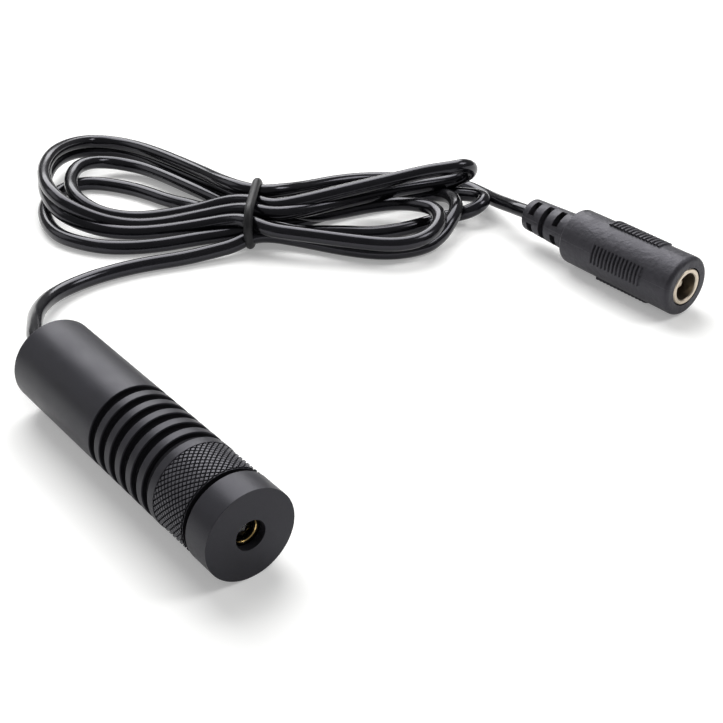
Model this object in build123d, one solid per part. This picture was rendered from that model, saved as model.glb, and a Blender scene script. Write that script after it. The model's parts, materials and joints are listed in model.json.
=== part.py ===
from build123d import *
import math
import os

# Laser diode module lying on its side, in millimetres: the beam leaves along +X, +Z is up and the
# floor is z = 0. The origin is on the floor, under the middle of the module's length.

# Barrel, a turned heat-sink tube
barrel_diameter = 16.0
plain_length = 26.55  # rear end to the first cooling groove
groove_count = 6
groove_width = 1.75
groove_pitch = 3.33
groove_depth = 1.0
neck_step = 0.6  # barrel down to the neck that the head is screwed on
nose_length = 9.5
relief_width = 0.5  # undercut at the root of the nose
barrel_wall = 2.0
shoulder_depth = 41.2  # rear end to the shoulder that stops the diode holder
edge_break = 0.2

# Focus head, one turned piece
band_length = 1.65
knurl_length = 8.2
knurl_drop = 0.15  # knurled band below the smooth ones, at the middle of its teeth
head_groove_width = 1.15
head_groove_depth = 1.1
ring_length = 5.4
beam_hole_diameter = 5.26
lip_thickness = 1.5
thread_clearance = 0.1
nose_end_gap = 0.3

# Lens cell, lens, retainer and spring
cell_diameter = 9.0
cell_length = 12.0
cell_aperture = 3.8
cell_front_wall = 0.9
cell_chamfer = 0.45
slide_clearance = 0.08
seat_gap = 0.05
lens_diameter = 6.4
lens_edge = 1.5
dome_diameter = 3.4
dome_height = 0.55
retainer_length = 1.6
retainer_bore = 4.4
retainer_slot = 0.8
spring_wire = 0.6
spring_turns = 4
spring_clearance = 0.25

# Laser diode in its holder
holder_length = 7.0
press_clearance = 0.02
stem_diameter = 5.6
stem_thickness = 1.2
cap_diameter = 3.55
cap_length = 2.4
cap_wall = 0.2
cap_bore_clearance = 0.22
window_hole = 1.6
window_diameter = 2.6
window_thickness = 0.25
pin_diameter = 0.45
pin_length = 6.5
pin_circle = 2.54

# Driver board and what is soldered to it
board_length = 24.0
board_thickness = 1.0
board_overlap = 2.2  # length of the diode's pins on the board
board_wall_gap = 0.08
ic_size = (4.9, 3.9, 1.5)
ic_place = (-7.0, 0.0)  # from the board's front edge and from its middle
inductor_size = (4.0, 4.0, 2.0)
inductor_place = (-12.6, 0.0)
capacitor_size = (3.4, 1.9, 1.8)
capacitor_places = ((-17.6, -1.6), (-17.6, 1.6))
resistor_size = (1.25, 2.0, 0.5)
resistor_places = ((-2.9, -3.0), (-2.9, 3.0), (-9.9, 3.2))
part_corner = 0.15

# Rear plug and the wires inside it
plug_thickness = 2.5
wire_diameter = 1.1
wire_spacing = 1.7
wire_lap = 1.6

# Cord, hank and tie
cord_diameter = 3.1
lead_route = (  # after the exit, on the floor beside the module
    (-45.9, 3.7, 6.6),
    (-54.6, 8.2, 3.9),
    (-62.4, 15.0, 2.0),
    (-64.3, 25.0, 1.56),
    (-62.9, 35.0, 1.56),
    (-59.7, 44.0, 1.6),
    (-58.6, 50.2, 2.3),
    (-59.0, 55.0, 3.4),
)
exit_run = 8.0
tail_route = (  # from the hank to the run into the jack
    (-63.2, 71.4, 6.0),
    (-65.6, 80.0, 5.2),
    (-65.7, 89.8, 4.0),
    (-63.3, 99.3, 2.8),
    (-58.2, 107.2, 2.1),
    (-49.6, 112.6, 2.6),
    (-39.6, 112.2, 4.6),
)
jack_run = 7.6
tie_place = (-62.0, 63.5)
hank_turn = 48.4  # way of the hank through its tie, from +X
waist_width = 17.4
waist_height = 6.7
waist_length = 13.0
tie_wire = 1.9
tie_clearance = 0.06
lobe_height = 7.6
lobe_edge = 1.4
lobe_gap = 2.4  # between the tie's middle and each lobe
waist_round = 8.0
left_outer = (
    (-112.6, 58.6, 8.4),
    (-93.0, 60.5, 7.8),
    (-104.0, 44.5, 9.7),
    (-90.0, 38.6, 11.8),
    (-80.3, 39.0, 10.8),
)
left_hole = ((-98.5, 45.5, 5.0), (-88.5, 48.0, 5.4), (-81.5, 54.2, 1.6))
right_outer = ((-40.2, 84.0, 10.8), (-53.2, 96.5, 8.2), (-41.8, 105.6, 5.2))
right_hole = ((-37.6, 84.8, 3.8), (-46.8, 86.0, 2.6), (-50.0, 79.2, 1.1))

# Power jack on the cord's end
jack_front = (18.4, 110.7)
jack_turn = 2.4
jack_roll = -13.0
jack_body_length = 28.7
jack_front_diameter = 12.3
jack_rear_diameter = 11.7
jack_front_round = 0.9
jack_rear_round = 0.8
boot_length = 12.9
boot_root_diameter = 8.15
boot_tip_diameter = 6.9
boot_tip_round = 0.4
slot_width = 1.5
slot_core_diameter = 4.6
slot_stations = (2.4, 5.9, 9.4)  # from the boot's tip to each row of slots
side_slot_angle = 60.0
long_slot_angle = 150.0
pad_count = 4
pad_diameter = 12.84
pad_angle = 38.0
pad_front = 6.9  # front face to the grip pads
pad_teeth = 14
pad_pitch = 0.94
pad_tooth_depth = 0.42
pad_root = 1.5  # depth of a pad's foot in the body
socket_depth = 11.0
sleeve_diameter = 7.6
sleeve_bore = 5.6
sleeve_clearance = 0.02
sleeve_rim_gap = 0.16
sleeve_rim_depth = 0.8
insulator_thickness = 2.0
contact_diameter = 2.0
contact_recess = 1.6
contact_seat = 1.2

# Places worked out from the sizes above
barrel_radius = barrel_diameter / 2
nose_radius = barrel_radius - neck_step
cell_radius = cell_diameter / 2
cord_radius = cord_diameter / 2
cavity_radius = barrel_radius - barrel_wall
groove_floor = barrel_radius - groove_depth
last_groove = plain_length + (groove_count - 1) * groove_pitch
head_length = band_length + knurl_length + head_groove_width + ring_length
overall_length = last_groove + groove_width + head_length
rear_x = -overall_length / 2
front_x = overall_length / 2
head_x = front_x - head_length
nose_root_x = rear_x + last_groove
nose_end_x = nose_root_x + nose_length
shoulder_x = rear_x + shoulder_depth
holder_x = shoulder_x - holder_length
lip_x = front_x - lip_thickness
cell_front_x = lip_x - seat_gap
cell_rear_x = cell_front_x - cell_length
lens_x = cell_front_x - cell_front_wall
board_front_x = holder_x - pin_length + board_overlap
board_top_z = barrel_radius - pin_circle / 4 - pin_diameter / 2
plug_x = rear_x + plug_thickness
axis_z = barrel_radius
jack_z = pad_diameter / 2
jack_length = jack_body_length + boot_length

module_axis = Pos(0, 0, axis_z)
jack_place = Pos(*jack_front, jack_z) * Rot(0, 0, jack_turn) * Rot(jack_roll, 0, 0)


def turned(*points):
    """A solid of revolution about X from (x, radius) points."""
    return revolve(make_face(Polyline(*points, close=True)), Axis.X)


def rod(x0, x1, diameter, y=0.0, z=0.0):
    """A round bar along X."""
    return Pos(x0, y, z) * Rot(0, 90, 0) * extrude(Circle(diameter / 2), x1 - x0)


def ring_cut(x0, x1, floor_radius):
    """What a square groove takes off a shaft of the barrel's size."""
    outside = barrel_radius + 1
    return turned((x0, floor_radius), (x1, floor_radius), (x1, outside), (x0, outside))


def block(size, place, floor_z):
    """A small moulded part on the board, with its upright edges broken."""
    body = Box(*size, align=(Align.CENTER, Align.CENTER, Align.MIN))
    body = chamfer(body.edges().filter_by(Axis.Z), part_corner)
    return Pos(board_front_x + place[0], place[1], floor_z) * body


def heat_sink_barrel():
    bore = cell_radius + slide_clearance
    body = turned(
        (rear_x, cavity_radius),
        (rear_x, barrel_radius - edge_break),
        (rear_x + edge_break, barrel_radius),
        (nose_root_x, barrel_radius),
        (nose_root_x, groove_floor),
        (nose_root_x + relief_width, groove_floor),
        (nose_root_x + relief_width, nose_radius),
        (nose_end_x - edge_break, nose_radius),
        (nose_end_x, nose_radius - edge_break),
        (nose_end_x, bore),
        (shoulder_x, bore),
        (shoulder_x, cavity_radius),
    )
    for i in range(groove_count - 1):
        start = rear_x + plain_length + i * groove_pitch
        body -= ring_cut(start, start + groove_width, groove_floor)
    return module_axis * body


def focus_head():
    skirt_bore = nose_radius + thread_clearance
    bore_end = nose_end_x + nose_end_gap
    cell_bore = cell_radius + slide_clearance
    hole = beam_hole_diameter / 2
    knurl_x = head_x + band_length
    groove_x = knurl_x + knurl_length
    ring_x = groove_x + head_groove_width
    knurl_radius = barrel_radius - knurl_drop
    groove_radius = barrel_radius - head_groove_depth
    body = turned(
        (head_x, skirt_bore),
        (head_x, barrel_radius - edge_break),
        (head_x + edge_break, barrel_radius),
        (knurl_x, barrel_radius),
        (knurl_x, knurl_radius),
        (groove_x, knurl_radius),
        (groove_x, groove_radius),
        (ring_x, groove_radius),
        (ring_x, barrel_radius),
        (front_x - edge_break, barrel_radius),
        (front_x, barrel_radius - edge_break),
        (front_x, hole + edge_break),
        (front_x - edge_break, hole),
        (lip_x, hole),
        (lip_x, cell_bore),
        (bore_end, cell_bore),
        (bore_end, skirt_bore),
    )
    return module_axis * body


def lens_cell():
    aperture = cell_aperture / 2
    pocket = lens_diameter / 2 + press_clearance
    body = turned(
        (cell_rear_x, pocket),
        (cell_rear_x, cell_radius - edge_break),
        (cell_rear_x + edge_break, cell_radius),
        (cell_front_x - edge_break, cell_radius),
        (cell_front_x, cell_radius - edge_break),
        (cell_front_x, aperture + cell_chamfer),
        (cell_front_x - cell_chamfer, aperture),
        (lens_x, aperture),
        (lens_x, pocket),
    )
    return module_axis * body


def collimating_lens():
    """A moulded lens: a flat flange with a domed middle on the beam's side."""
    dome_radius = dome_diameter / 2
    edge_radius = lens_diameter / 2
    outline = Polyline(
        (lens_x + dome_height, 0),
        (lens_x - lens_edge, 0),
        (lens_x - lens_edge, edge_radius),
        (lens_x, edge_radius),
        (lens_x, dome_radius),
    )
    sagitta = (dome_radius**2 + dome_height**2) / (2 * dome_height)
    half = math.asin(dome_radius / sagitta) / 2
    centre_x = lens_x + dome_height - sagitta
    middle = (centre_x + sagitta * math.cos(half), sagitta * math.sin(half))
    dome = ThreePointArc(outline @ 1, middle, outline @ 0)
    return module_axis * revolve(make_face([outline, dome]), Axis.X)


def lens_retainer():
    """The slotted ring that holds the lens in its cell."""
    front = lens_x - lens_edge
    rear = front - retainer_length
    outer = lens_diameter / 2
    inner = retainer_bore / 2
    body = turned((rear, inner), (rear, outer), (front, outer), (front, inner))
    slot = Pos(rear, 0, 0) * Box(retainer_length, lens_diameter, retainer_slot)
    return module_axis * (body - slot)


def lens_spring():
    """A coil spring from the diode holder to the lens cell."""
    radius = cell_radius + slide_clearance - spring_clearance - spring_wire / 2
    height = cell_rear_x - shoulder_x - spring_wire
    path = Helix(height / spring_turns, height, radius)
    start = Plane(path @ 0, z_dir=path % 0)
    coil = sweep(start * Circle(spring_wire / 2), path=path)
    return module_axis * Pos(shoulder_x + spring_wire / 2, 0, 0) * Rot(0, 90, 0) * coil


def diode_holder():
    outer = cavity_radius - press_clearance
    pocket = stem_diameter / 2 + press_clearance
    pocket_end = holder_x + stem_thickness
    bore = cap_diameter / 2 + cap_bore_clearance
    body = turned(
        (holder_x, pocket),
        (holder_x, outer - edge_break),
        (holder_x + edge_break, outer),
        (shoulder_x, outer),
        (shoulder_x, bore),
        (pocket_end, bore),
        (pocket_end, pocket),
    )
    return module_axis * body


def diode_stem():
    return module_axis * rod(holder_x, holder_x + stem_thickness, stem_diameter)


def diode_cap():
    base = holder_x + stem_thickness
    top = base + cap_length
    outer = cap_diameter / 2
    inner = outer - cap_wall
    hole = window_hole / 2
    inside = top - cap_wall
    body = turned((base, inner), (base, outer), (top, outer), (top, hole), (inside, hole), (inside, inner))
    return module_axis * body


def diode_window():
    """The glass disc behind the cap's hole."""
    front = holder_x + stem_thickness + cap_length - cap_wall
    return module_axis * rod(front - window_thickness, front, window_diameter)


def diode_pins():
    """Three leads behind the stem, the lower two lying on the board."""
    pins = []
    for angle in (90, 210, 330):
        y = pin_circle / 2 * math.cos(math.radians(angle))
        z = pin_circle / 2 * math.sin(math.radians(angle))
        pins.append(module_axis * rod(holder_x - pin_length, holder_x, pin_diameter, y, z))
    return Compound(children=pins)


def driver_board():
    below = axis_z - board_top_z + board_thickness
    half_width = math.sqrt(cavity_radius**2 - below**2) - board_wall_gap
    hang = (Align.MAX, Align.CENTER, Align.MAX)
    board = Box(board_length, 2 * half_width, board_thickness, align=hang)
    return Pos(board_front_x, 0, board_top_z) * board


def driver_ic():
    return block(ic_size, ic_place, board_top_z)


def driver_inductor():
    return block(inductor_size, inductor_place, board_top_z)


def driver_capacitors():
    return Compound(children=[block(capacitor_size, place, board_top_z) for place in capacitor_places])


def driver_resistors():
    return Compound(children=[block(resistor_size, place, board_top_z) for place in resistor_places])


def rear_plug():
    """The disc that closes the barrel round the cord."""
    outer = cavity_radius - press_clearance
    body = rod(rear_x, plug_x, 2 * outer)
    return module_axis * chamfer(body.edges().group_by(Axis.X)[0], edge_break)


def lead_wires():
    """The cord's two conductors, from the plug to the board's rear edge."""
    end = board_front_x - board_length + wire_lap
    z = board_top_z + wire_diameter / 2
    wires = [rod(plug_x, end, wire_diameter, y, z) for y in (-wire_spacing / 2, wire_spacing / 2)]
    return Compound(children=wires)


def cord_tube(name, points):
    """A round tube along straight runs and the widest arcs that they leave room for."""
    corners = [Vector(*point) for point in points]
    runs = [b - a for a, b in zip(corners, corners[1:])]
    radii = []
    for before, after in zip(runs, runs[1:]):
        turn = math.radians(before.get_angle(after))
        radii.append(0.45 * min(before.length, after.length) / math.tan(turn / 2))
    path = FilletPolyline(*corners, radius=radii)
    tube = sweep(Plane(path @ 0, z_dir=path % 0) * Circle(cord_radius), path=path)
    section = math.pi * cord_radius**2
    print(name, "bend radii", [round(radius, 1) for radius in radii], "length", round(path.length, 1))
    print(name, "volume over section times length", round(tube.volume / (section * path.length), 4))
    return tube


def jack_behind(distance):
    """A point of the jack's axis, behind its front face."""
    place = jack_place * Pos(-distance, 0, 0)
    return tuple(place.position)


def cord_lead():
    exit_point = (rear_x, 0, axis_z)
    straight = (rear_x - exit_run, 0, axis_z)
    return cord_tube("cord_lead", (exit_point, straight) + lead_route)


def cord_tail():
    points = [jack_behind(jack_length + jack_run), jack_behind(jack_length)]
    return cord_tube("cord_tail", list(tail_route) + points)


def along_hank(forward, side=0.0):
    """A point of the floor plan, from the tie's middle along and across the hank."""
    turn = math.radians(hank_turn)
    x = tie_place[0] + forward * math.cos(turn) + side * math.sin(turn)
    y = tie_place[1] + forward * math.sin(turn) - side * math.cos(turn)
    return x, y


def rounded_outline(circles):
    """The outline that a string drawn round some circles has."""
    return make_hull([edge for x, y, radius in circles for edge in (Pos(x, y) * Circle(radius)).edges()])


def lobe(circles, hole, forward):
    """One side of the hank: its outline over the tied end, with the opening of its loops."""
    tied_end = (*along_hank(forward), waist_round)
    body = extrude(rounded_outline((tied_end,) + circles), lobe_height)
    body -= extrude(rounded_outline(hole), lobe_height)
    return fillet(body.edges().group_by(Axis.Z)[-1], lobe_edge)


def waist_plane(forward):
    """The upright plane across the hank, its middle at the height of the tied strands."""
    turn = math.radians(hank_turn)
    way = (math.cos(turn), math.sin(turn), 0)
    middle = (*along_hank(forward), tie_wire + tie_clearance + waist_height / 2)
    return Plane(middle, x_dir=(math.sin(turn), -math.cos(turn), 0), z_dir=way)


def cord_hank():
    reach = lobe_gap + waist_round
    left = lobe(left_outer, left_hole, -reach)
    right = lobe(right_outer, right_hole, reach)
    waist = extrude(waist_plane(-waist_length / 2) * SlotOverall(waist_width, waist_height), waist_length)
    return left + waist + right


def cord_tie():
    """A round-section ring, drawn close round the tied strands."""
    grow = tie_wire + 2 * tie_clearance
    path = (waist_plane(0) * SlotOverall(waist_width + grow, waist_height + grow)).wire()
    return sweep(Plane(path @ 0, z_dir=path % 0) * Circle(tie_wire / 2), path=path)


def sector(points, angle, middle):
    """Part of a ring about X, from (x, radius) points, with its middle at an angle round the axis."""
    face = make_face(Polyline(*points, close=True))
    return Rot(middle - angle / 2, 0, 0) * revolve(face, Axis.X, angle)


def grip_pad(middle):
    """One raised pad with ridges across it."""
    top = pad_diameter / 2
    valley = top - pad_tooth_depth
    foot = jack_rear_diameter / 2 - pad_root
    rear = -pad_front - pad_teeth * pad_pitch
    points = [(rear, foot)]
    for i in range(pad_teeth):
        x = rear + i * pad_pitch
        rise = x + 0.25 * pad_pitch
        crest = x + 0.65 * pad_pitch
        fall = x + 0.9 * pad_pitch
        points += [(x, valley), (rise, top), (crest, top), (fall, valley)]
    points += [(-pad_front, valley), (-pad_front, foot)]
    return sector(points, pad_angle, middle)


def bend_slots():
    """The staggered rows of slots that let the boot bend."""
    inner = slot_core_diameter / 2
    outer = boot_root_diameter
    cuts = []
    for row, station in enumerate(slot_stations):
        middle_x = station - jack_length
        x0 = middle_x - slot_width / 2
        x1 = middle_x + slot_width / 2
        points = ((x0, inner), (x1, inner), (x1, outer), (x0, outer))
        if row % 2:
            cuts += [sector(points, long_slot_angle, middle) for middle in (0, 180)]
        else:
            cuts += [sector(points, side_slot_angle, middle) for middle in (45, 135, 225, 315)]
    return cuts


def jack_housing():
    front_radius = jack_front_diameter / 2
    rear_radius = jack_rear_diameter / 2
    root = boot_root_diameter / 2
    tip = boot_tip_diameter / 2
    hole = sleeve_diameter / 2 + sleeve_clearance
    mouth = hole + sleeve_rim_gap
    body = turned(
        (0, mouth),
        (0, front_radius),
        (-jack_body_length, rear_radius),
        (-jack_body_length, root),
        (-jack_length, tip),
        (-jack_length, 0),
        (-socket_depth, 0),
        (-socket_depth, hole),
        (-sleeve_rim_depth, hole),
        (-sleeve_rim_depth, mouth),
    )
    rims = body.edges().filter_by(GeomType.CIRCLE)
    body = fillet(rims.filter_by(lambda edge: abs(edge.radius - front_radius) < 1e-6), jack_front_round)
    rims = body.edges().filter_by(GeomType.CIRCLE)
    body = fillet(rims.filter_by(lambda edge: abs(edge.radius - rear_radius) < 1e-6), jack_rear_round)
    rims = body.edges().filter_by(GeomType.CIRCLE)
    body = fillet(rims.filter_by(lambda edge: abs(edge.radius - tip) < 1e-6), boot_tip_round)
    for i in range(pad_count):
        body += grip_pad(i * 360 / pad_count)
    for cut in bend_slots():
        body -= cut
    return jack_place * body


def jack_sleeve():
    outer = sleeve_diameter / 2
    inner = sleeve_bore / 2
    body = turned(
        (-socket_depth, inner),
        (-socket_depth, outer),
        (-edge_break, outer),
        (0, outer - edge_break),
        (0, inner + edge_break),
        (-edge_break, inner),
    )
    return jack_place * body


def jack_insulator():
    """The moulded floor of the socket, round the contact's foot."""
    floor = -socket_depth
    outer = sleeve_bore / 2 - sleeve_clearance
    seat = contact_diameter / 2 + sleeve_clearance
    top = floor + insulator_thickness
    seat_floor = top - contact_seat
    body = turned(
        (floor, 0),
        (floor, outer),
        (top, outer),
        (top, seat),
        (seat_floor, seat),
        (seat_floor, 0),
    )
    return jack_place * body


def jack_pin():
    start = -socket_depth + insulator_thickness - contact_seat
    pin = rod(start, -contact_recess, contact_diameter)
    return jack_place * fillet(pin.edges().group_by(Axis.X)[-1], contact_diameter / 4)


pieces = (
    heat_sink_barrel,
    focus_head,
    lens_cell,
    collimating_lens,
    lens_retainer,
    lens_spring,
    diode_holder,
    diode_stem,
    diode_cap,
    diode_window,
    diode_pins,
    driver_board,
    driver_ic,
    driver_inductor,
    driver_capacitors,
    driver_resistors,
    rear_plug,
    lead_wires,
    cord_lead,
    cord_hank,
    cord_tail,
    cord_tie,
    jack_housing,
    jack_sleeve,
    jack_insulator,
    jack_pin,
)

os.makedirs("parts", exist_ok=True)
for make in pieces:
    export_step(make(), f"parts/{make.__name__}.step")
print("overall length", round(overall_length, 2), "pieces", len(pieces))
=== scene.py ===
import json
import math

import bmesh
import bpy
from mathutils import Matrix, Vector


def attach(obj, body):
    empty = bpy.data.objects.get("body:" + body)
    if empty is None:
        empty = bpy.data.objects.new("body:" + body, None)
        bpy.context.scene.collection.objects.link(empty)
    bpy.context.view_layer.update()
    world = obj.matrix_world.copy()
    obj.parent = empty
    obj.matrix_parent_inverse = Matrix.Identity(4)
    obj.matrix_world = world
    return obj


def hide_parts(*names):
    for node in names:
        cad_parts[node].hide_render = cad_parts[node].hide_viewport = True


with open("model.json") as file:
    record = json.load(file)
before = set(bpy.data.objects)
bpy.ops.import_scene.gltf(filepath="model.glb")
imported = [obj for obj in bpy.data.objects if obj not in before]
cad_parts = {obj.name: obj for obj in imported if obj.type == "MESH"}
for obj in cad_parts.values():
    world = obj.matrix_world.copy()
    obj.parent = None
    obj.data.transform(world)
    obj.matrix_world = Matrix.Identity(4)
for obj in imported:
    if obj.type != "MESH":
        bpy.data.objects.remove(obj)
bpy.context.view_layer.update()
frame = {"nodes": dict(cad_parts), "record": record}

nodes = frame["nodes"]
axisZ = 0.008  # height of the module's axis
print("frame", len(nodes), "nodes")


# camera at the photo's angle
cameraView = {
    "place": (0.17025, -0.08783, 0.14285),
    "aim": (0.0028, 0.0425, 0.008),
    "lens": 70.78,
    "sensor": 36.0,
    "clipStart": 0.01,
}

cameraData = bpy.data.cameras.new("camera")
cameraData.lens = cameraView["lens"]
cameraData.sensor_width = cameraView["sensor"]
cameraData.clip_start = cameraView["clipStart"]
camera = bpy.data.objects.new("camera", cameraData)
camera.location = cameraView["place"]
sight = Vector(cameraView["aim"]) - Vector(cameraView["place"])
camera.rotation_euler = sight.to_track_quat("-Z", "Y").to_euler()
bpy.context.collection.objects.link(camera)
bpy.context.scene.camera = camera
print("camera", round(sight.length, 3), "m from its aim")


# the cord: one path from the barrel's rear through the tied hank to the socket
cordSettings = {
    "diameter": 0.0031,
    "length": 1.105,
    "exit": (-0.03068, 0.0, 0.008),
    "stepsPerPoint": 8,
    "roundSteps": 5,
}

leadPoints = (
    (-0.03068, 0.0, 0.008), (-0.03867, 0.0, 0.008), (-0.0462, 0.0035, 0.0066),
    (-0.0553, 0.0082, 0.0039), (-0.0623, 0.0152, 0.002), (-0.0643, 0.025, 0.0016),
    (-0.0629, 0.035, 0.0016), (-0.0597, 0.044, 0.0016), (-0.058, 0.0498, 0.002),
    (-0.0566, 0.0544, 0.0024), (-0.0564, 0.0585, 0.0034), (-0.0556, 0.0632, 0.0027),
)
lowRightLoop = (
    (-0.0512, 0.0679, 0.0018), (-0.0413, 0.0738, 0.0016), (-0.0348, 0.0795, 0.0016),
    (-0.0323, 0.087, 0.0016), (-0.0334, 0.0923, 0.0022), (-0.0347, 0.0959, 0.0039),
    (-0.0372, 0.1001, 0.005), (-0.0425, 0.1035, 0.0046), (-0.0484, 0.1048, 0.0027),
    (-0.0522, 0.1021, 0.0018), (-0.0542, 0.0966, 0.0016), (-0.0565, 0.0883, 0.0016),
    (-0.0581, 0.0808, 0.0016), (-0.0585, 0.0735, 0.0016), (-0.06, 0.0677, 0.0023),
    (-0.0614, 0.063, 0.0038), (-0.0654, 0.0605, 0.0027),
)
lowLeftLoop = (
    (-0.0777, 0.0596, 0.0016), (-0.0847, 0.056, 0.0016), (-0.0906, 0.0544, 0.0016),
    (-0.0961, 0.0524, 0.0016), (-0.1027, 0.0483, 0.0016), (-0.1054, 0.0445, 0.0016),
    (-0.1049, 0.0391, 0.0016), (-0.1023, 0.0348, 0.0016), (-0.0979, 0.0314, 0.0016),
    (-0.0917, 0.029, 0.0016), (-0.0862, 0.0283, 0.0016), (-0.0815, 0.0292, 0.0016),
    (-0.0749, 0.0327, 0.0016), (-0.0707, 0.0376, 0.0016), (-0.0678, 0.0432, 0.0016),
    (-0.0646, 0.0513, 0.002), (-0.0607, 0.0572, 0.0029), (-0.0587, 0.0606, 0.0038),
    (-0.0577, 0.0657, 0.0029),
)
backRightLoop = (
    (-0.0542, 0.0699, 0.0017), (-0.0491, 0.0771, 0.0016), (-0.0444, 0.0817, 0.0016),
    (-0.0419, 0.0879, 0.0016), (-0.0408, 0.0955, 0.0016), (-0.0399, 0.1013, 0.0018),
    (-0.0367, 0.1035, 0.0034), (-0.0364, 0.1067, 0.0044), (-0.0384, 0.1091, 0.0044),
    (-0.0418, 0.1096, 0.0036), (-0.0487, 0.107, 0.0022), (-0.0551, 0.1041, 0.0016),
    (-0.0601, 0.094, 0.0016), (-0.0621, 0.0869, 0.0016), (-0.0639, 0.0799, 0.0018),
    (-0.0644, 0.0723, 0.0034), (-0.0671, 0.068, 0.004), (-0.0748, 0.0661, 0.0045),
)
midLeftLoop = (
    (-0.0874, 0.0658, 0.0027), (-0.1063, 0.0638, 0.002), (-0.1153, 0.061, 0.0017),
    (-0.1194, 0.0567, 0.0018), (-0.1189, 0.0497, 0.0032), (-0.1132, 0.0419, 0.0048),
    (-0.1061, 0.036, 0.0048), (-0.0987, 0.0328, 0.0048), (-0.0912, 0.0311, 0.0048),
    (-0.0861, 0.0319, 0.0039), (-0.0808, 0.0361, 0.0022), (-0.0764, 0.0409, 0.0017),
    (-0.073, 0.0464, 0.0018), (-0.067, 0.0529, 0.0036), (-0.0617, 0.058, 0.0056),
    (-0.0574, 0.0594, 0.0063), (-0.0528, 0.0614, 0.0055),
)
frontRightLoop = (
    (-0.0477, 0.0656, 0.0053), (-0.0398, 0.0727, 0.0047), (-0.0332, 0.0781, 0.0047),
    (-0.0309, 0.083, 0.0048), (-0.0312, 0.0879, 0.0052), (-0.0339, 0.0924, 0.0058),
    (-0.0383, 0.095, 0.0059), (-0.0426, 0.0941, 0.0056), (-0.049, 0.0923, 0.004),
    (-0.0528, 0.0882, 0.0031), (-0.0538, 0.0808, 0.0034), (-0.055, 0.0748, 0.004),
    (-0.0577, 0.0717, 0.0048), (-0.0617, 0.0699, 0.0041), (-0.0646, 0.0658, 0.0038),
    (-0.0721, 0.0638, 0.0032),
)
innerLeftLoop = (
    (-0.0821, 0.0625, 0.003), (-0.1005, 0.0603, 0.0024), (-0.1076, 0.0564, 0.0026),
    (-0.1092, 0.0521, 0.0036), (-0.1086, 0.048, 0.0046), (-0.107, 0.0445, 0.0048),
    (-0.1025, 0.0407, 0.0048), (-0.0965, 0.0381, 0.0048), (-0.0917, 0.0374, 0.0044),
    (-0.0863, 0.0393, 0.003), (-0.0823, 0.0443, 0.0018), (-0.0789, 0.0499, 0.0019),
    (-0.0732, 0.0569, 0.0038), (-0.0689, 0.062, 0.0061), (-0.0636, 0.065, 0.0071),
    (-0.0595, 0.0667, 0.0069),
)
topRightLoop = (
    (-0.0556, 0.0712, 0.0081), (-0.0518, 0.082, 0.0093), (-0.0488, 0.0925, 0.01),
    (-0.0461, 0.0989, 0.0109), (-0.0434, 0.1028, 0.0115), (-0.0424, 0.1063, 0.0116),
    (-0.0431, 0.1093, 0.0099), (-0.0452, 0.1104, 0.0073), (-0.0476, 0.1088, 0.0054),
    (-0.0488, 0.1054, 0.0052), (-0.0513, 0.0956, 0.0056), (-0.0528, 0.0827, 0.0061),
    (-0.0543, 0.0704, 0.0066), (-0.0567, 0.0647, 0.0067), (-0.0608, 0.0624, 0.007),
    (-0.065, 0.0602, 0.006),
)
outerLeftLoop = (
    (-0.0702, 0.055, 0.0039), (-0.0757, 0.0481, 0.0019), (-0.0793, 0.0426, 0.0018),
    (-0.0819, 0.0366, 0.004), (-0.0872, 0.0325, 0.0063), (-0.0918, 0.0316, 0.0075),
    (-0.0976, 0.0324, 0.008), (-0.1055, 0.036, 0.008), (-0.1116, 0.0414, 0.008),
    (-0.1165, 0.0485, 0.0066), (-0.1181, 0.0553, 0.005), (-0.1136, 0.0601, 0.0046),
    (-0.1048, 0.0632, 0.0049), (-0.0864, 0.0654, 0.0057), (-0.0739, 0.0644, 0.0076),
    (-0.0667, 0.0673, 0.0074), (-0.0646, 0.0725, 0.007),
)
tailPoints = (
    (-0.0656, 0.08, 0.0052), (-0.0657, 0.0898, 0.004), (-0.0633, 0.0993, 0.0028),
    (-0.0579, 0.1079, 0.0019), (-0.0497, 0.1134, 0.0019), (-0.0413, 0.1127, 0.0026),
    (-0.0363, 0.1113, 0.0037), (-0.0305, 0.1098, 0.0052), (-0.0264, 0.109, 0.0061),
    (-0.02316, 0.10896, 0.00642),
)

cordPoints = (
    leadPoints + lowRightLoop + lowLeftLoop + backRightLoop + midLeftLoop + frontRightLoop + innerLeftLoop
    + topRightLoop + outerLeftLoop + tailPoints
)

cordCurve = bpy.data.curves.new("cord", "CURVE")
cordCurve.dimensions = "3D"
cordLine = cordCurve.splines.new("NURBS")
cordLine.points.add(len(cordPoints) - 1)
for point, place in zip(cordLine.points, cordPoints):
    point.co = (*place, 1.0)
    point.radius = cordSettings["diameter"] / 2  # held by the points, so that the curve's box is the cord's
cordLine.order_u = 3
cordLine.use_endpoint_u = True
cordLine.resolution_u = cordSettings["stepsPerPoint"]
cordCurve.bevel_depth = 1.0
cordCurve.bevel_resolution = cordSettings["roundSteps"]
cordCurve.use_fill_caps = True
cord = bpy.data.objects.new("cord", cordCurve)
bpy.context.collection.objects.link(cord)
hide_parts("cord_lead", "cord_hank", "cord_tail")
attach(cord, "module")
print("cord", len(cordPoints), "points")


# what a finish has unless its own look says otherwise
plainLook = {
    "metal": 0.0,
    "specular": 0.5,
    "sheen": (1.0, 1.0, 1.0),
    "speckle": 0.3,  # share of the tone that the fine grain gives
    "grains": 4000.0,
    "grainDepth": 0.000004,
    "patches": 160.0,
    "axisY": 0.0,
    "axisZ": axisZ,
}
grainSettings = {"grainDetail": 3.0, "patchDetail": 4.0, "patchRough": 0.6, "toneSpan": (0.3, 0.7)}
ringSettings = {"rings": 6000.0, "detail": 4.0, "rough": 0.65}


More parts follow.
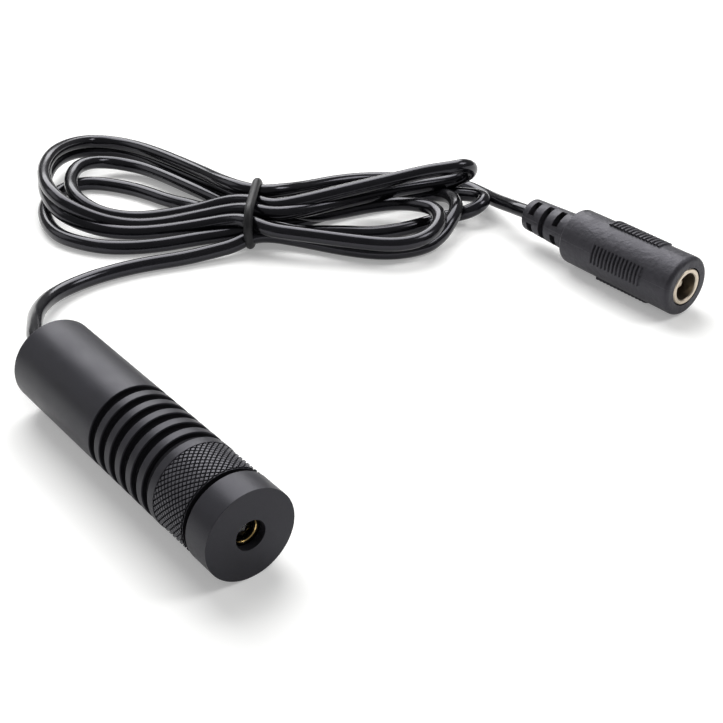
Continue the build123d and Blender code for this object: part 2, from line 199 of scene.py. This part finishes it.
# shader groups shared by the finishes
def startGroup(name, inputs, outputs):
    group = bpy.data.node_groups.new(name, "ShaderNodeTree")
    for label, kind, value in inputs:
        socket = group.interface.new_socket(label, in_out="INPUT", socket_type=kind)
        if value is not None:
            socket.default_value = value
    for label in outputs:
        group.interface.new_socket(label, in_out="OUTPUT", socket_type="NodeSocketFloat")
    return group, group.nodes.new("NodeGroupInput"), group.nodes.new("NodeGroupOutput")


def addMath(tree, operation, first, second=None):
    node = tree.nodes.new("ShaderNodeMath")
    node.operation = operation
    for socket, value in zip(node.inputs, (first, second)):
        if isinstance(value, (int, float)):
            socket.default_value = value
        elif value is not None:
            tree.links.new(value, socket)
    return node.outputs[0]


def mapRange(tree, value, fromSpan, toSpan=(0.0, 1.0)):
    node = tree.nodes.new("ShaderNodeMapRange")
    for label, number in zip(("From Min", "From Max", "To Min", "To Max"), (*fromSpan, *toSpan)):
        node.inputs[label].default_value = number
    tree.links.new(value, node.inputs["Value"])
    return node.outputs["Result"]


def makeFineGrain(look):
    group, start, end = startGroup(
        "fineGrain",
        [
            ("Vector", "NodeSocketVector", None),
            ("Grains", "NodeSocketFloat", plainLook["grains"]),
            ("Patches", "NodeSocketFloat", plainLook["patches"]),
        ],
        ["Height", "Tone", "Patch"],
    )
    grain = group.nodes.new("ShaderNodeTexNoise")
    grain.inputs["Detail"].default_value = look["grainDetail"]
    patch = group.nodes.new("ShaderNodeTexNoise")
    patch.inputs["Detail"].default_value = look["patchDetail"]
    patch.inputs["Roughness"].default_value = look["patchRough"]
    for noise, scale, tone in ((grain, "Grains", "Tone"), (patch, "Patches", "Patch")):
        group.links.new(start.outputs["Vector"], noise.inputs["Vector"])
        group.links.new(start.outputs[scale], noise.inputs["Scale"])
        group.links.new(mapRange(group, noise.outputs["Fac"], look["toneSpan"]), end.inputs[tone])
    group.links.new(grain.outputs["Fac"], end.inputs["Height"])
    return group


def makeLatheRings(look):
    group, start, end = startGroup(
        "latheRings",
        [
            ("Vector", "NodeSocketVector", None),
            ("Axis Y", "NodeSocketFloat", plainLook["axisY"]),
            ("Axis Z", "NodeSocketFloat", plainLook["axisZ"]),
            ("Rings", "NodeSocketFloat", look["rings"]),
        ],
        ["Height", "Radius"],
    )
    split = group.nodes.new("ShaderNodeSeparateXYZ")
    group.links.new(start.outputs["Vector"], split.inputs[0])
    across = addMath(group, "SUBTRACT", split.outputs["Y"], start.outputs["Axis Y"])
    above = addMath(group, "SUBTRACT", split.outputs["Z"], start.outputs["Axis Z"])
    squares = addMath(group, "ADD", addMath(group, "POWER", across, 2.0), addMath(group, "POWER", above, 2.0))
    radius = addMath(group, "SQRT", squares)
    path = addMath(group, "ADD", split.outputs["X"], radius)  # along a cylinder, and outwards on an end face
    along = addMath(group, "MULTIPLY", path, start.outputs["Rings"])
    rings = group.nodes.new("ShaderNodeTexNoise")
    rings.noise_dimensions = "1D"
    rings.inputs["Scale"].default_value = 1.0
    rings.inputs["Detail"].default_value = look["detail"]
    rings.inputs["Roughness"].default_value = look["rough"]
    group.links.new(along, rings.inputs["W"])
    group.links.new(rings.outputs["Fac"], end.inputs["Height"])
    group.links.new(radius, end.inputs["Radius"])
    return group


fineGrain = makeFineGrain(grainSettings)
latheRings = makeLatheRings(ringSettings)


def startFinish(name, look):
    material = bpy.data.materials.new(name)
    material.use_nodes = True
    tree = material.node_tree
    shader = tree.nodes["Principled BSDF"]
    coords = tree.nodes.new("ShaderNodeTexCoord")
    grain = tree.nodes.new("ShaderNodeGroup")
    grain.node_tree = fineGrain
    grain.inputs["Grains"].default_value = look["grains"]
    grain.inputs["Patches"].default_value = look["patches"]
    tree.links.new(coords.outputs["Object"], grain.inputs["Vector"])
    return material, tree, shader, coords, grain


def mixColours(tree, factor, first, second):
    node = tree.nodes.new("ShaderNodeMix")
    node.data_type = "RGBA"
    tree.links.new(factor, node.inputs["Factor"])
    # a Mix node's colours are its inputs 6 and 7 and its output 2
    for socket, colour in ((node.inputs[6], first), (node.inputs[7], second)):
        if isinstance(colour, tuple):
            socket.default_value = (*colour, 1.0)
        else:
            tree.links.new(colour, socket)
    return node.outputs[2]


def makeFinish(name, ownLook):
    look = {**plainLook, **ownLook}
    material, tree, shader, coords, grain = startFinish(name, look)
    shader.inputs["Metallic"].default_value = look["metal"]
    shader.inputs["Specular IOR Level"].default_value = look["specular"]
    shader.inputs["Specular Tint"].default_value = (*look["sheen"], 1.0)
    fine = addMath(tree, "MULTIPLY", grain.outputs["Tone"], look["speckle"])
    broad = addMath(tree, "MULTIPLY", grain.outputs["Patch"], 1.0 - look["speckle"])
    colour = mixColours(tree, addMath(tree, "ADD", fine, broad), look["dark"], look["light"])
    height = addMath(tree, "MULTIPLY", grain.outputs["Height"], look["grainDepth"])
    if "rings" in look:
        rings = tree.nodes.new("ShaderNodeGroup")
        rings.node_tree = latheRings
        rings.inputs["Rings"].default_value = look["rings"]
        rings.inputs["Axis Y"].default_value = look["axisY"]
        rings.inputs["Axis Z"].default_value = look["axisZ"]
        tree.links.new(coords.outputs["Object"], rings.inputs["Vector"])
        cut = addMath(tree, "MULTIPLY", rings.outputs["Height"], look["ringDepth"])
        height = addMath(tree, "ADD", height, cut)
    bump = tree.nodes.new("ShaderNodeBump")
    bump.inputs["Strength"].default_value = 1.0
    bump.inputs["Distance"].default_value = 1.0
    tree.links.new(height, bump.inputs["Height"])
    tree.links.new(bump.outputs["Normal"], shader.inputs["Normal"])
    rough = mapRange(tree, grain.outputs["Patch"], (0.0, 1.0), look["rough"])
    tree.links.new(rough, shader.inputs["Roughness"])
    tree.links.new(colour, shader.inputs["Base Color"])
    return material, tree, shader, colour


def findNode(tree, kind):
    return next(node for node in tree.nodes if node.type == kind)


def splitPlace(tree):
    split = tree.nodes.new("ShaderNodeSeparateXYZ")
    tree.links.new(findNode(tree, "TEX_COORD").outputs["Object"], split.inputs[0])
    return split.outputs


def ringRadius(tree):
    rings = next(node for node in tree.nodes if node.type == "GROUP" and node.node_tree == latheRings)
    return rings.outputs["Radius"]


def distanceFrom(tree, value, middle):
    return addMath(tree, "ABSOLUTE", addMath(tree, "SUBTRACT", value, middle))


def dress(piece, material):
    if not piece.material_slots:
        piece.data.materials.append(material)
    for place in piece.material_slots:
        place.material = material


print("groups", len(bpy.data.node_groups))


# the turned pieces: a closed outline of (x, radius) in millimetres, spun about the module's axis
turning = {
    "mergeGap": 1e-7,
    "sharpAngle": 0.6,  # corners that turn by more, in radians, get a broken edge
    "edgeSegments": 2,
    "smoothAngle": math.radians(16),
}


def spinTurned(shape, outline, steps):
    corners = [shape.verts.new((x / 1000, 0.0, axisZ + radius / 1000)) for x, radius in outline]
    rim = [shape.edges.new(pair) for pair in zip(corners, corners[1:] + corners[:1])]
    bmesh.ops.spin(
        shape,
        geom=corners + rim,
        cent=(0, 0, axisZ),
        axis=(1, 0, 0),
        angle=2 * math.pi,
        steps=steps,
        use_merge=True,
    )
    bmesh.ops.remove_doubles(shape, verts=shape.verts, dist=turning["mergeGap"])
    bmesh.ops.recalc_face_normals(shape, faces=shape.faces)


def breakEdges(shape, size):
    joined = [edge for edge in shape.edges if len(edge.link_faces) == 2]
    bmesh.ops.bevel(
        shape,
        geom=[edge for edge in joined if edge.calc_face_angle() > turning["sharpAngle"]],
        offset=size,
        affect="EDGES",
        segments=turning["edgeSegments"],
        profile=0.5,
        material=-1,
        clamp_overlap=True,
    )


def addPiece(name, shape, body):
    mesh = bpy.data.meshes.new(name)
    shape.to_mesh(mesh)
    shape.free()
    mesh.polygons.foreach_set("use_smooth", [True] * len(mesh.polygons))
    mesh.set_sharp_from_angle(angle=turning["smoothAngle"])
    piece = bpy.data.objects.new(name, mesh)
    bpy.context.collection.objects.link(piece)
    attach(piece, body)
    print(name, len(mesh.polygons), "faces")
    return piece


barrelSettings = {
    "rear": -30.675,
    "radius": 8.0,
    "grooveFloor": 7.0,
    "firstGroove": -4.125,
    "groovePitch": 3.33,
    "grooveWidth": 1.75,
    "grooves": 5,
    "noseRoot": 12.525,
    "noseRelief": 0.5,
    "noseRadius": 7.4,
    "noseEnd": 22.025,
    "cellBore": 4.58,
    "shoulder": 10.525,
    "cavity": 6.0,
    "edge": 0.00011,
    "steps": 144,
}


def makeBarrel(look):
    outline = [(look["rear"], look["cavity"]), (look["rear"], look["radius"])]
    for i in range(look["grooves"]):
        start = look["firstGroove"] + i * look["groovePitch"]
        end = start + look["grooveWidth"]
        outline += [(start, look["radius"]), (start, look["grooveFloor"])]
        outline += [(end, look["grooveFloor"]), (end, look["radius"])]
    relief = look["noseRoot"] + look["noseRelief"]
    outline += [
        (look["noseRoot"], look["radius"]),
        (look["noseRoot"], look["grooveFloor"]),
        (relief, look["grooveFloor"]),
        (relief, look["noseRadius"]),
        (look["noseEnd"], look["noseRadius"]),
        (look["noseEnd"], look["cellBore"]),
        (look["shoulder"], look["cellBore"]),
        (look["shoulder"], look["cavity"]),
    ]
    shape = bmesh.new()
    spinTurned(shape, outline, look["steps"])
    breakEdges(shape, look["edge"])
    piece = addPiece("heatSinkBarrel", shape, "module")
    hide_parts("heat_sink_barrel")
    return piece


headSettings = {
    "rear": 14.275,
    "skirtBore": 7.5,
    "radius": 8.0,
    "knurlStart": 15.925,
    "knurlEnd": 24.125,
    "knurlFoot": 7.68,
    "knurlLand": 7.76,
    "knurlEndLand": 0.22,
    "knurlCrest": 7.92,
    "ringStart": 25.275,
    "grooveFloor": 6.9,
    "front": 30.675,
    "beamHole": 2.63,
    "lip": 29.175,
    "cellBore": 4.58,
    "boreEnd": 22.325,
    "edge": 0.00014,
    "steps": 144,
    "teethRound": 46,
    "teethRows": 8,
    "toothTip": 0.6,  # share of a tooth's foot that its flat tip has
    "toothSink": 0.05,  # a tooth's foot lies this far below the band's floor
}


def allOf(shape):
    return shape.verts[:] + shape.edges[:] + shape.faces[:]


def makeHead(look):
    landStart = look["knurlEnd"] - look["knurlEndLand"]
    outline = [
        (look["rear"], look["skirtBore"]),
        (look["rear"], look["radius"]),
        (look["knurlStart"], look["radius"]),
        (look["knurlStart"], look["knurlFoot"]),
        (landStart, look["knurlFoot"]),
        (landStart, look["knurlLand"]),
        (look["knurlEnd"], look["knurlLand"]),
        (look["knurlEnd"], look["grooveFloor"]),
        (look["ringStart"], look["grooveFloor"]),
        (look["ringStart"], look["radius"]),
        (look["front"], look["radius"]),
        (look["front"], look["beamHole"]),
        (look["lip"], look["beamHole"]),
        (look["lip"], look["cellBore"]),
        (look["boreEnd"], look["cellBore"]),
        (look["boreEnd"], look["skirtBore"]),
    ]
    shape = bmesh.new()
    spinTurned(shape, outline, look["steps"])
    breakEdges(shape, look["edge"])
    # diamond knurl: two staggered columns of teeth, cut off at the band's ends and repeated round the axis
    teeth = bmesh.new()
    rowPitch = (landStart - look["knurlStart"]) / look["teethRows"] / 1000
    stepAngle = 2 * math.pi / look["teethRound"]
    columnPitch = look["knurlCrest"] / 1000 * stepAngle
    toothHeight = (look["knurlCrest"] - look["knurlFoot"]) / 1000 + look["toothSink"] / 1000
    middle = axisZ + look["knurlCrest"] / 1000 - toothHeight / 2
    size = Matrix.Diagonal((rowPitch / 2, columnPitch / 2, toothHeight, 1.0))
    axisPlace = Matrix.Translation((0, 0, axisZ))
    halfTurn = axisPlace @ Matrix.Rotation(stepAngle / 2, 4, "X") @ axisPlace.inverted()
    for row in range(2 * look["teethRows"] + 1):
        place = Matrix.Translation((look["knurlStart"] / 1000 + row * rowPitch / 2, 0, middle)) @ size
        if row % 2:
            place = halfTurn @ place
        bmesh.ops.create_cone(
            teeth, cap_ends=True, segments=4, radius1=1.0, radius2=look["toothTip"], depth=1.0, matrix=place
        )
    for end, way in ((look["knurlStart"], -1), (landStart, 1)):
        bmesh.ops.bisect_plane(
            teeth,
            geom=allOf(teeth),
            plane_co=(end / 1000, 0, 0),
            plane_no=(way, 0, 0),
            clear_outer=True,
        )
    bmesh.ops.spin(
        teeth,
        geom=allOf(teeth),
        cent=(0, 0, axisZ),
        axis=(1, 0, 0),
        angle=2 * math.pi - stepAngle,
        steps=look["teethRound"] - 1,
        use_duplicate=True,
    )
    toothMesh = bpy.data.meshes.new("knurlTeeth")
    teeth.to_mesh(toothMesh)
    teeth.free()
    shape.from_mesh(toothMesh)
    bpy.data.meshes.remove(toothMesh)
    piece = addPiece("focusHead", shape, "head")
    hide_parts("focus_head")
    return piece


barrel = makeBarrel(barrelSettings)
head = makeHead(headSettings)


# finishes, by material slot
finishes = {
    "brass": {
        "dark": (0.58, 0.38, 0.13),
        "light": (0.78, 0.56, 0.24),
        "rough": (0.18, 0.34),
        "metal": 1.0,
        "rings": 7000.0,
        "ringDepth": 0.000008,
    },
    "gold_plate": {
        "dark": (0.78, 0.55, 0.2),
        "light": (0.88, 0.68, 0.32),
        "rough": (0.16, 0.28),
        "metal": 1.0,
        "rings": 6000.0,
        "ringDepth": 0.000004,
    },
    "nickel": {
        "dark": (0.42, 0.36, 0.28),
        "light": (0.6, 0.53, 0.44),
        "rough": (0.26, 0.42),
        "metal": 1.0,
        "rings": 6500.0,
        "ringDepth": 0.000006,
        "axisY": 0.1107,
        "axisZ": 0.00642,
    },
    "spring_steel": {
        "dark": (0.36, 0.36, 0.37),
        "light": (0.55, 0.55, 0.56),
        "rough": (0.2, 0.34),
        "metal": 1.0,
    },
    "chip_black": {
        "dark": (0.02, 0.02, 0.021),
        "light": (0.045, 0.045, 0.047),
        "rough": (0.5, 0.7),
        "speckle": 0.7,
    },
    "ferrite": {
        "dark": (0.07, 0.07, 0.075),
        "light": (0.15, 0.15, 0.16),
        "rough": (0.5, 0.75),
        "speckle": 0.8,
        "grainDepth": 0.00001,
    },
    "wire_red": {
        "dark": (0.32, 0.012, 0.012),
        "light": (0.45, 0.025, 0.02),
        "rough": (0.28, 0.42),
    },
    "plug_black": {
        "dark": (0.012, 0.012, 0.013),
        "light": (0.03, 0.03, 0.032),
        "rough": (0.35, 0.6),
        "grains": 1800.0,
        "grainDepth": 0.00002,
    },
    "cord_black": {
        "dark": (0.004, 0.004, 0.0048),
        "light": (0.008, 0.008, 0.0095),
        "rough": (0.13, 0.2),
        "grains": 2600.0,
        "grainDepth": 0.000003,
        "patches": 240.0,
        "specular": 0.4,
        "sheen": (0.9, 0.89, 1.0),
    },
    "tie_black": {
        "dark": (0.008, 0.008, 0.009),
        "light": (0.017, 0.017, 0.019),
        "rough": (0.42, 0.6),
        "grains": 3000.0,
        "grainDepth": 0.000012,
        "speckle": 0.5,
        "specular": 0.3,
    },
    "insulator_black": {
        "dark": (0.014, 0.013, 0.013),
        "light": (0.03, 0.03, 0.03),
        "rough": (0.4, 0.6),
    },
}
made = {slotName: makeFinish(slotName, look)[0] for slotName, look in finishes.items()}


# satin anodising, with painted shade, dead black, down in the grooves and between the knurl's teeth, and a
# painted highlight, paler, on the teeth's tips
anodisedLook = {
    "dark": (0.012, 0.012, 0.014),
    "light": (0.019, 0.0185, 0.023),
    "rough": (0.38, 0.48),
    "grains": 5200.0,
    "grainDepth": 0.0000035,
    "rings": 5200.0,
    "ringDepth": 0.000006,
    "specular": 0.3,
    "sheen": (0.88, 0.87, 1.0),
    # painted shade: near-black colour and a duller finish in the grooves and between the knurl's teeth
    "paintedShade": (0.0015, 0.0015, 0.0018),
    "paintedShadeRough": 0.85,
    "paintedShadeRadius": 0.00774,
    "paintedShadeMiddle": 0.01055,
    "paintedShadeHalf": 0.0148,
    # painted highlight: a paler colour on the knurl teeth's tips
    "paintedTipHighlight": (0.075, 0.074, 0.082),
    "paintedTipHighlightRadius": 0.00786,
    "paintedTipHighlightMiddle": 0.020025,
    "paintedTipHighlightHalf": 0.004,
}


def makeAnodised(look):
    material, tree, shader, plain = makeFinish("anodised_black", look)
    along = splitPlace(tree)["X"]
    radius = ringRadius(tree)
    # painted shade: the colour goes near black where the surface lies low in the grooves and between the
    # knurl's teeth
    inGrooves = addMath(tree, "LESS_THAN", distanceFrom(tree, along, look["paintedShadeMiddle"]), look["paintedShadeHalf"])
    low = addMath(tree, "LESS_THAN", radius, look["paintedShadeRadius"])
    paintedShade = addMath(tree, "MULTIPLY", inGrooves, low)
    # painted highlight: paler colour where the surface stands high in the knurl's band
    inBand = addMath(tree, "LESS_THAN", distanceFrom(tree, along, look["paintedTipHighlightMiddle"]), look["paintedTipHighlightHalf"])
    high = addMath(tree, "GREATER_THAN", radius, look["paintedTipHighlightRadius"])
    paintedTipHighlight = addMath(tree, "MULTIPLY", inBand, high)
    surface = mixColours(tree, paintedTipHighlight, plain, look["paintedTipHighlight"])
    tree.links.new(mixColours(tree, paintedShade, surface, look["paintedShade"]), shader.inputs["Base Color"])
    rough = shader.inputs["Roughness"].links[0].from_socket
    shadeDull = addMath(tree, "MULTIPLY", paintedShade, look["paintedShadeRough"])
    tree.links.new(addMath(tree, "MAXIMUM", rough, shadeDull), shader.inputs["Roughness"])
    return material


# brass cell: painted shade darkens it all over, but for bare brass on the turned edge round its aperture
cellLook = {
    **finishes["brass"],
    "edgeIn": 0.00207,
    "edgeOut": 0.00219,
    "edgeFrom": 0.0286,
    # painted shade: a near-black colour over the cell's brass
    "shadeDull": (0.012, 0.0095, 0.007),
}


def makeCellFinish(look):
    material, tree, shader, bare = makeFinish("cell_brass", look)
    radius = ringRadius(tree)
    past = addMath(tree, "GREATER_THAN", radius, look["edgeIn"])
    before = addMath(tree, "LESS_THAN", radius, look["edgeOut"])
    front = addMath(tree, "GREATER_THAN", splitPlace(tree)["X"], look["edgeFrom"])
    edge = addMath(tree, "MULTIPLY", front, addMath(tree, "MULTIPLY", past, before))
    # painted shade everywhere on the cell but its bare brass edge ring
    tree.links.new(mixColours(tree, edge, look["shadeDull"], bare), shader.inputs["Base Color"])
    return material


# clear glass with a thin film of dust in its roughness
glassLook = {
    "tint": (0.8, 0.88, 0.85),
    "rough": (0.01, 0.05),
    "patches": 700.0,
    "specular": 0.16,
    "ior": 1.5,
}


def makeGlass(ownLook):
    look = {**plainLook, **ownLook}
    material, tree, shader, coords, grain = startFinish("lens_glass", look)
    shader.inputs["Base Color"].default_value = (*look["tint"], 1.0)
    shader.inputs["Transmission Weight"].default_value = 1.0
    shader.inputs["IOR"].default_value = look["ior"]
    shader.inputs["Specular IOR Level"].default_value = look["specular"]
    dust = mapRange(tree, grain.outputs["Patch"], (0.0, 1.0), look["rough"])
    tree.links.new(dust, shader.inputs["Roughness"])
    return material


# solder mask over copper lines
boardLook = {
    "dark": (0.004, 0.06, 0.022),
    "light": (0.01, 0.11, 0.045),
    "rough": (0.25, 0.4),
    "copper": (0.03, 0.19, 0.07),
    "lines": 420.0,
    "lineWidth": 0.035,
    "lineSoftness": 0.2,
}


def makeBoard(look):
    material, tree, shader, mask = makeFinish("board_green", look)
    lines = tree.nodes.new("ShaderNodeTexBrick")
    lines.inputs["Scale"].default_value = look["lines"]
    lines.inputs["Mortar Size"].default_value = look["lineWidth"]
    lines.inputs["Mortar Smooth"].default_value = look["lineSoftness"]
    tree.links.new(findNode(tree, "TEX_COORD").outputs["Object"], lines.inputs["Vector"])
    tree.links.new(mixColours(tree, lines.outputs["Fac"], mask, look["copper"]), shader.inputs["Base Color"])
    return material


# small parts with tinned ends, which start so far from a part's middle along its axis
# the resistors lie on both sides of zero, so their axis is folded there
endLooks = {
    "ceramic_tan": {
        "dark": (0.36, 0.22, 0.11),
        "light": (0.5, 0.34, 0.19),
        "rough": (0.3, 0.5),
        "axis": "X",
        "middle": -0.01795,
        "ends": 0.0012,
        "folded": False,
    },
    "resistor_black": {
        "dark": (0.012, 0.012, 0.013),
        "light": (0.03, 0.03, 0.032),
        "rough": (0.25, 0.45),
        "axis": "Y",
        "middle": 0.00307,
        "ends": 0.00065,
        "folded": True,
    },
}
tinColour = (0.62, 0.62, 0.6)


def makeTinnedEnds(name, look):
    material, tree, shader, body = makeFinish(name, look)
    along = splitPlace(tree)[look["axis"]]
    if look["folded"]:
        along = addMath(tree, "ABSOLUTE", along)
    tinned = addMath(tree, "GREATER_THAN", distanceFrom(tree, along, look["middle"]), look["ends"])
    tree.links.new(mixColours(tree, tinned, body, tinColour), shader.inputs["Base Color"])
    tree.links.new(tinned, shader.inputs["Metallic"])
    return material


# moulded vinyl of the jack, with the fine parting line of its mould
jackLook = {
    "dark": (0.013, 0.013, 0.015),
    "light": (0.022, 0.021, 0.025),
    "rough": (0.46, 0.6),
    "grains": 1000.0,
    "grainDepth": 0.00014,
    "patches": 260.0,
    "specular": 0.55,
    "sheen": (0.9, 0.88, 1.0),
    "place": (0.0184, 0.1107, 0.00642),
    "turn": 2.4,
    "roll": -13.0,
    "lineWidth": 0.00009,
    "lineDepth": 0.00006,
}


def makeJackFinish(look):
    material, tree, shader, body = makeFinish("jack_black", look)
    bump = findNode(tree, "BUMP")
    grainHeight = bump.inputs["Height"].links[0].from_socket
    turn = tree.nodes.new("ShaderNodeMapping")
    turn.vector_type = "TEXTURE"
    turn.inputs["Location"].default_value = look["place"]
    turn.inputs["Rotation"].default_value = (math.radians(look["roll"]), 0.0, math.radians(look["turn"]))
    tree.links.new(findNode(tree, "TEX_COORD").outputs["Object"], turn.inputs["Vector"])
    split = tree.nodes.new("ShaderNodeSeparateXYZ")
    tree.links.new(turn.outputs["Vector"], split.inputs[0])
    line = mapRange(tree, addMath(tree, "ABSOLUTE", split.outputs["Z"]), (look["lineWidth"], 0.0))
    raised = addMath(tree, "MULTIPLY", line, look["lineDepth"])
    tree.links.new(addMath(tree, "ADD", grainHeight, raised), bump.inputs["Height"])
    return material


made["anodised_black"] = makeAnodised(anodisedLook)
made["lens_glass"] = makeGlass(glassLook)
made["board_green"] = makeBoard(boardLook)
made["jack_black"] = makeJackFinish(jackLook)
for slotName, look in endLooks.items():
    made[slotName] = makeTinnedEnds(slotName, look)

for part in frame["record"]["subparts"]:
    dress(nodes[part["node"]], made[part["material_slot"]])
dress(nodes["lens_cell"], makeCellFinish(cellLook))
dress(barrel, made["anodised_black"])
dress(head, made["anodised_black"])
dress(cord, made["cord_black"])
print("finishes", len(made) + 1)


# floor and light
stageSettings = {
    "floorSize": 9.0,
    "floorColour": (0.82, 0.82, 0.81, 1.0),
    "nearGlow": 0.27,
    "farGlow": 0.78,
    "glowReach": (0.2, 0.7),
    "lampAim": (-0.03, 0.04, 0.0),
    "worldColour": (1.0, 1.0, 1.0, 1.0),
    "worldLevel": 0.22,
}
lamps = {
    "keyLight": {"place": (-0.42, 0.24, 0.49), "size": 0.6, "power": 6.7},
    "fillLight": {"place": (0.3, 0.5, 0.6), "size": 0.28, "power": 1.8},
    "sideLight": {"place": (-0.47, -0.38, 0.36), "size": 0.4, "power": 0.5},
}


def makeFloorFinish(look):
    material = bpy.data.materials.new("floor")
    material.use_nodes = True
    tree = material.node_tree
    tree.nodes.clear()
    out = tree.nodes.new("ShaderNodeOutputMaterial")
    base = tree.nodes.new("ShaderNodeBsdfDiffuse")
    base.inputs["Color"].default_value = look["floorColour"]
    # the lamps' light falls off with distance, and the glow that the camera sees makes up for it
    coords = tree.nodes.new("ShaderNodeTexCoord")
    away = tree.nodes.new("ShaderNodeVectorMath")
    away.operation = "LENGTH"
    tree.links.new(coords.outputs["Object"], away.inputs[0])
    level = mapRange(tree, away.outputs["Value"], look["glowReach"], (look["nearGlow"], look["farGlow"]))
    rays = tree.nodes.new("ShaderNodeLightPath").outputs
    seen = addMath(tree, "ADD", rays["Is Camera Ray"], rays["Is Transmission Ray"])
    seen = addMath(tree, "ADD", seen, rays["Is Glossy Ray"])
    glow = tree.nodes.new("ShaderNodeEmission")
    tree.links.new(addMath(tree, "MULTIPLY", seen, level), glow.inputs["Strength"])
    both = tree.nodes.new("ShaderNodeAddShader")
    tree.links.new(base.outputs[0], both.inputs[0])
    tree.links.new(glow.outputs[0], both.inputs[1])
    tree.links.new(both.outputs[0], out.inputs["Surface"])
    return material


floorShape = bmesh.new()
bmesh.ops.create_grid(floorShape, x_segments=1, y_segments=1, size=stageSettings["floorSize"])
floorMesh = bpy.data.meshes.new("floor")
floorShape.to_mesh(floorMesh)
floorShape.free()
floorMesh.materials.append(makeFloorFinish(stageSettings))
floor = bpy.data.objects.new("floor", floorMesh)
bpy.context.collection.objects.link(floor)

for lampName, look in lamps.items():
    lampData = bpy.data.lights.new(lampName, "AREA")
    lampData.shape = "SQUARE"
    lampData.size = look["size"]
    lampData.energy = look["power"]
    lamp = bpy.data.objects.new(lampName, lampData)
    lamp.location = look["place"]
    beam = Vector(stageSettings["lampAim"]) - Vector(look["place"])
    lamp.rotation_euler = beam.to_track_quat("-Z", "Y").to_euler()
    bpy.context.collection.objects.link(lamp)

world = bpy.data.worlds.new("studio")
world.use_nodes = True
sky = world.node_tree.nodes["Background"]
sky.inputs["Color"].default_value = stageSettings["worldColour"]
sky.inputs["Strength"].default_value = stageSettings["worldLevel"]
bpy.context.scene.world = world
bpy.context.scene.view_settings.view_transform = "Standard"
print("stage", "floor,", len(lamps), "soft lamps and the world")

bpy.context.view_layer.update()
